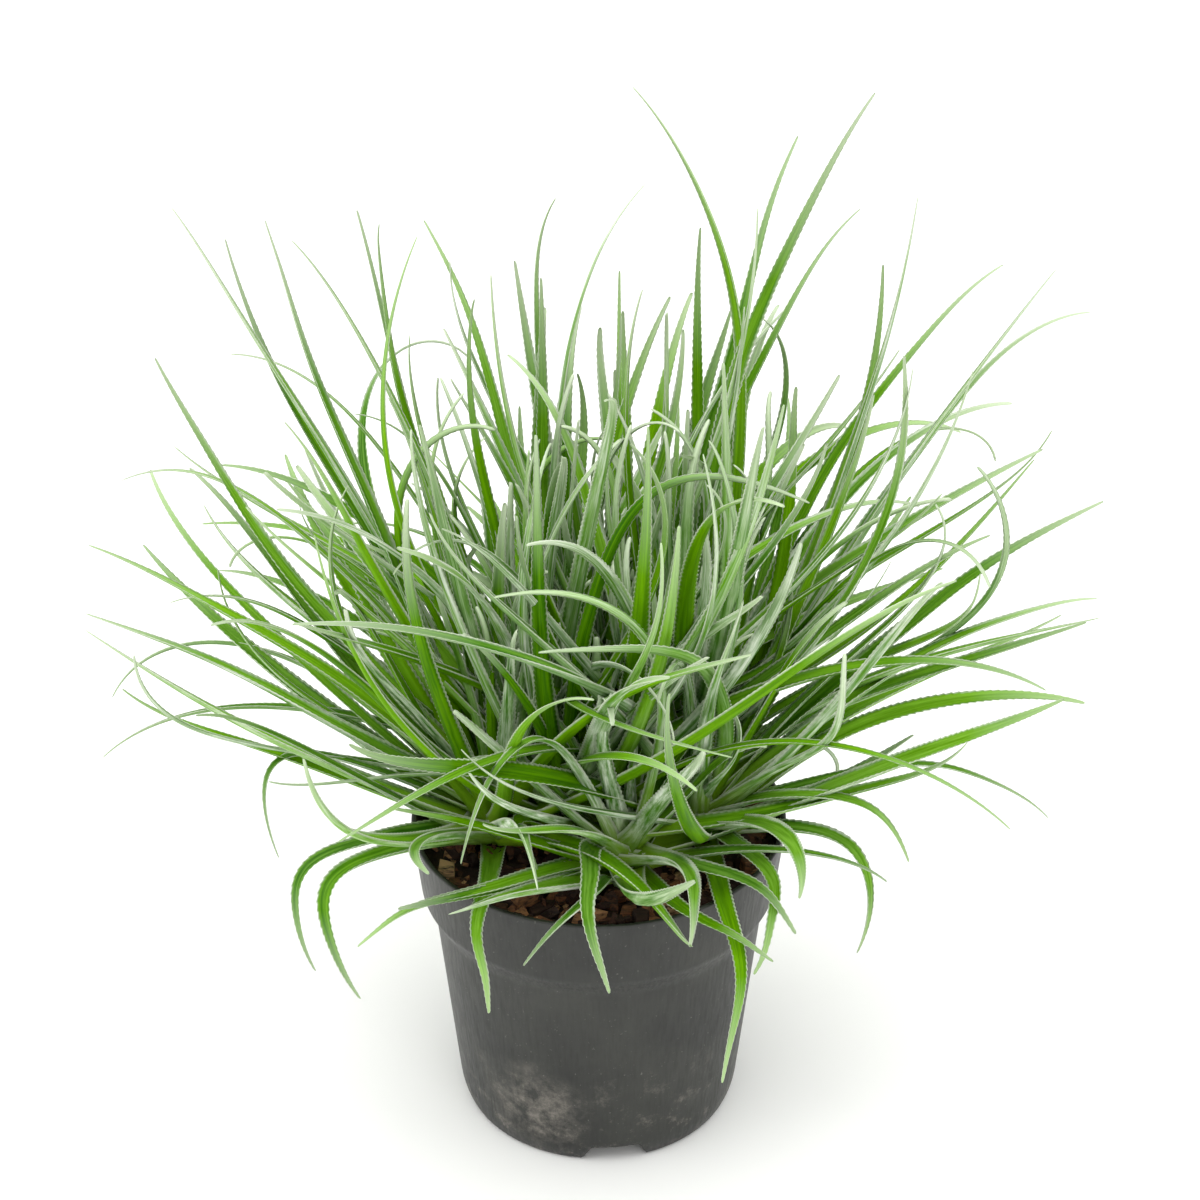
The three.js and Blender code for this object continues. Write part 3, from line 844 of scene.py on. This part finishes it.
draw = np.random.default_rng(36)
for node in sorted(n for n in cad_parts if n.startswith("leaf_")):
    middle, upper, width = cad_leaf(node)
    nearest = min(rosettes, key=lambda r: np.linalg.norm(crown_places[r][:2] - middle[6, :2]))
    # No leaf is quite straight: each sways sideways by up to a millimetre and a half.
    s = np.linspace(0, 1, len(middle))
    sway = 0.0015 * np.sin(np.pi * s) * np.sin(draw.uniform(7, 11) * s + draw.uniform(0, 2 * np.pi))
    middle = middle + sway[:, None] * unit(np.cross(np.gradient(middle, axis=0), upper))
    hangs = middle[-1, 2] < POT_HEIGHT + 0.03
    age = 0.85 if hangs else draw.uniform(0.3, 0.85)
    blade = (middle, upper, width, 0.0006, 1.8, draw.uniform(-0.6, 0.6), draw.uniform(0.0, 1.0), age)
    outer[nearest].append((node, blade))
for name in rosettes:
    piece = leaf_group("outer_leaves_" + name, [blade for node, blade in outer[name]], leaf_skin)
    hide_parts(*[node for node, blade in outer[name]])

# ---- Inner leaves -------------------------------------------------------------------------------
# The rest of each rosette, in one spiral from the silvery youngest at the middle to the old ones at
# the outside. Each leaf rises from the crown and bends over under its own weight. A rosette at the
# side of the clump leans away from the others, so its inward leaves are more upright.
GOLDEN_TURN = 2.39996
SAMPLES = 60
# Rosette: number of leaves, length of the longest in metres, lean of the oldest in degrees.
HABITS = {
    "front": (26, 0.115, 74),
    "middle": (38, 0.205, 58),
    "right": (36, 0.185, 63),
    "left": (46, 0.200, 65),
    "back_left": (43, 0.225, 58),
    "back_right": (47, 0.235, 57),
    "back": (46, 0.225, 58),
}
# The dome that these leaves fill: its middle, and its reach to the side, to the back and upwards.
DOME_MIDDLE = np.array([0.0, 0.0, 0.125])
DOME_REACH = np.array([0.160, 0.122, 0.196])
LOWEST_HANG = 0.092
FITTING_ROUNDS = 24


def grown_lines(starts, headings, leans, bends, curls, sweeps, waves, lengths):
    """Middle lines and upper directions of leaves. Going along a leaf, its angle from upright grows
    from its lean by its bend times s^1.4 and its curl times s^5; its heading turns by its sweep
    times s^2 and sways by its wave. The line is the running sum of that direction."""
    s = (np.arange(SAMPLES) + 0.5) / SAMPLES
    angle = leans[:, None] + bends[:, None] * s**1.4 + curls[:, None] * s**5
    heading = headings[:, None] + sweeps[:, None] * s**2 + waves[:, None] * np.sin(
        7 * s + 20 * waves[:, None],
    )
    outward = np.stack([np.cos(heading), np.sin(heading), np.zeros_like(heading)], -1)
    up = np.array([0.0, 0.0, 1.0])
    along = np.sin(angle)[..., None] * outward + np.cos(angle)[..., None] * up
    upper = np.sin(angle)[..., None] * up - np.cos(angle)[..., None] * outward
    lines = starts[:, None] + np.cumsum(along, 1) * (lengths / SAMPLES)[:, None, None]
    return np.concatenate([starts[:, None], lines], 1), np.concatenate([upper[:, :1], upper], 1)


for name in rosettes:
    count, longest, oldest_lean = HABITS[name]
    crown = crown_places[name]
    age = (np.arange(count) + 1.0) / count
    heading = np.arange(count) * GOLDEN_TURN + draw.uniform(0, 2 * np.pi) + draw.normal(0, 0.15, count)
    away = np.arctan2(crown[1], crown[0])
    strength = min(1.0, np.hypot(crown[0], crown[1]) / 0.035)
    outwardness = np.cos(heading - away) * strength
    lean = np.radians(5 + (oldest_lean - 5) * age**0.9) * (1 + 0.25 * outwardness) + draw.normal(
        0,
        0.16,
        count,
    )
    lean = np.maximum(lean, 0.03)
    # Half of the leaves bend down, the others turn up again, and a third are thin wisps that curl
    # at the tip to either side.
    wispy = draw.uniform(0, 1, count) < 0.32
    bend = np.radians(10 + 32 * age) * draw.uniform(-1.5, 1.8, count)
    curl = np.clip(draw.normal(0, 1, count) * np.where(wispy, 2.0, 0.7) * (1.2 - 0.6 * age), -2.2, 2.2)
    sweep = draw.normal(0, 0.46, count) * np.where(wispy, 2.4, 1.0)
    wave = draw.normal(0, 0.06, count)
    length = longest * (0.40 + 0.60 * np.sin(np.clip(age * 1.3, 0, 1) * np.pi / 2)) * draw.uniform(
        0.7,
        1.08,
        count,
    )
    width = (0.0054 + 0.0030 * age) * draw.uniform(0.72, 1.15, count) * np.where(wispy, 0.6, 1.0)
    length = np.where(wispy, length * 0.85, length)
    tip_width = 0.0015 - 0.0010 * age
    radius = 0.0015 + 0.0062 * age
    starts = crown + np.stack(
        [radius * np.cos(heading), radius * np.sin(heading), 0.002 + 0.013 * (1 - age)], 1
    )
    for attempt in range(FITTING_ROUNDS):
        lines, upper = grown_lines(starts, heading, lean, bend, curl, sweep, wave, length)
        reach = np.abs(lines - DOME_MIDDLE) / DOME_REACH
        reach[..., 2] *= lines[..., 2] > DOME_MIDDLE[2]
        over = ((reach**3).sum(2) > 1).any(1)
        length = np.where(over, length * 0.96, length)
        lean = np.where(over, lean * 0.98, lean)
        from_axis = np.hypot(lines[..., 0], lines[..., 1])
        low = (from_axis < RIM_RADIUS + 0.003) & (lines[..., 2] < POT_HEIGHT + 0.003)
        low &= (from_axis > MIX_RADIUS - 0.012) | (lines[..., 2] < MIX_TOP + 0.001)
        hits = low[:, 6:].any(1) | (lines[..., 2] < LOWEST_HANG).any(1)
        lean = np.where(hits, lean - 0.06, lean)
        bend = np.where(hits, bend * 0.86, bend)
        curl = np.where(hits, curl * 0.8, curl)
    blades = [
        (lines[i], upper[i], width[i], tip_width[i], 1.8, draw.normal(0, 0.7), draw.uniform(0, 1), age[i])
        for i in range(count)
    ]
    piece = leaf_group("inner_leaves_" + name, blades, leaf_skin)
    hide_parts("crown_" + name)
